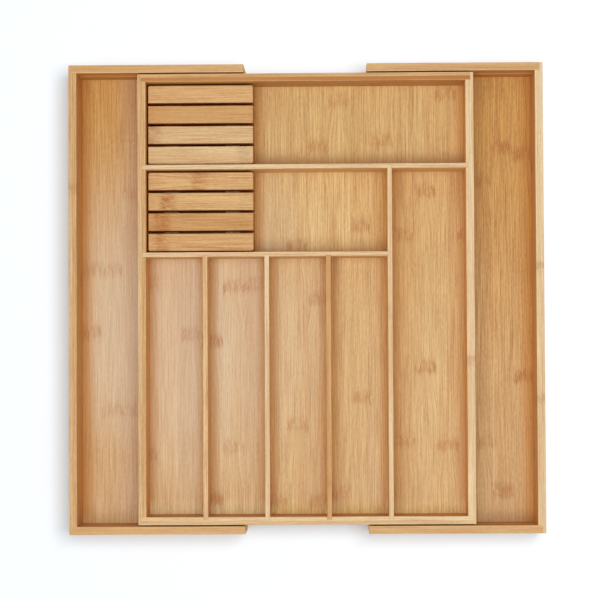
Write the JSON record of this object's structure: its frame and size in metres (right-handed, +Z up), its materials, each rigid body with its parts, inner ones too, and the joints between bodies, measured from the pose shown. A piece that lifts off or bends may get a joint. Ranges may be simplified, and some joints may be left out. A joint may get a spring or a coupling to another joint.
{
  "type": "cutlery tray",
  "caption": "Expandable bamboo drawer tray with divided cutlery slots, side wings that slide out, and lift-out slatted knife blocks.",
  "frame": {"origin": "middle of the whole tray's footprint, on the plane that it stands on, with both wings pulled out as in the picture", "axes": "+X to the right, along the wings' travel; +Y to the rear, where the knife blocks are; +Z up"},
  "size_m": [0.457, 0.452, 0.057],
  "materials": {
    "bamboo_wall": "satin lacquer",
    "bamboo_floor": "satin lacquer",
    "bamboo_divider": "satin lacquer",
    "bamboo_slat": "satin lacquer",
    "bamboo_rail": "bare, sanded"
  },
  "bodies": {
    "tray": {"tray_left_wall": "bamboo_wall", "tray_right_wall": "bamboo_wall", "tray_front_wall": "bamboo_wall", "tray_rear_wall": "bamboo_wall", "tray_floor": "bamboo_floor", "rear_cross_divider": "bamboo_divider", "middle_cross_divider": "bamboo_divider", "long_divider": "bamboo_divider", "short_divider_1": "bamboo_divider", "short_divider_2": "bamboo_divider", "short_divider_3": "bamboo_divider", "left_front_runner": "bamboo_rail", "left_rear_runner": "bamboo_rail", "right_front_runner": "bamboo_rail", "right_rear_runner": "bamboo_rail"},
    "left_wing": {"left_wing_side_wall": "bamboo_wall", "left_wing_front_wall": "bamboo_wall", "left_wing_rear_wall": "bamboo_wall", "left_wing_floor": "bamboo_floor"},
    "right_wing": {"right_wing_side_wall": "bamboo_wall", "right_wing_front_wall": "bamboo_wall", "right_wing_rear_wall": "bamboo_wall", "right_wing_floor": "bamboo_floor"},
    "rear_knife_block": {"rear_knife_block_slat_1": "bamboo_slat", "rear_knife_block_slat_2": "bamboo_slat", "rear_knife_block_slat_3": "bamboo_slat", "rear_knife_block_slat_4": "bamboo_slat", "rear_knife_block_batten_1": "bamboo_rail", "rear_knife_block_batten_2": "bamboo_rail"},
    "front_knife_block": {"front_knife_block_slat_1": "bamboo_slat", "front_knife_block_slat_2": "bamboo_slat", "front_knife_block_slat_3": "bamboo_slat", "front_knife_block_slat_4": "bamboo_slat", "front_knife_block_batten_1": "bamboo_rail", "front_knife_block_batten_2": "bamboo_rail"}
  },
  "joints": [
    {"name": "left_wing_slide", "type": "slide", "parent": "tray", "child": "left_wing", "axis": [-1, 0, 0], "range_m": [-0.0587, 0.0213]},
    {"name": "right_wing_slide", "type": "slide", "parent": "tray", "child": "right_wing", "axis": [1, 0, 0], "range_m": [-0.0587, 0.0213]},
    {"name": "rear_knife_block_lift", "type": "slide", "parent": "tray", "child": "rear_knife_block", "axis": [0, 0, 1], "range_m": [0, 0.06]},
    {"name": "front_knife_block_lift", "type": "slide", "parent": "tray", "child": "front_knife_block", "axis": [0, 0, 1], "range_m": [0, 0.06]}
  ]
}
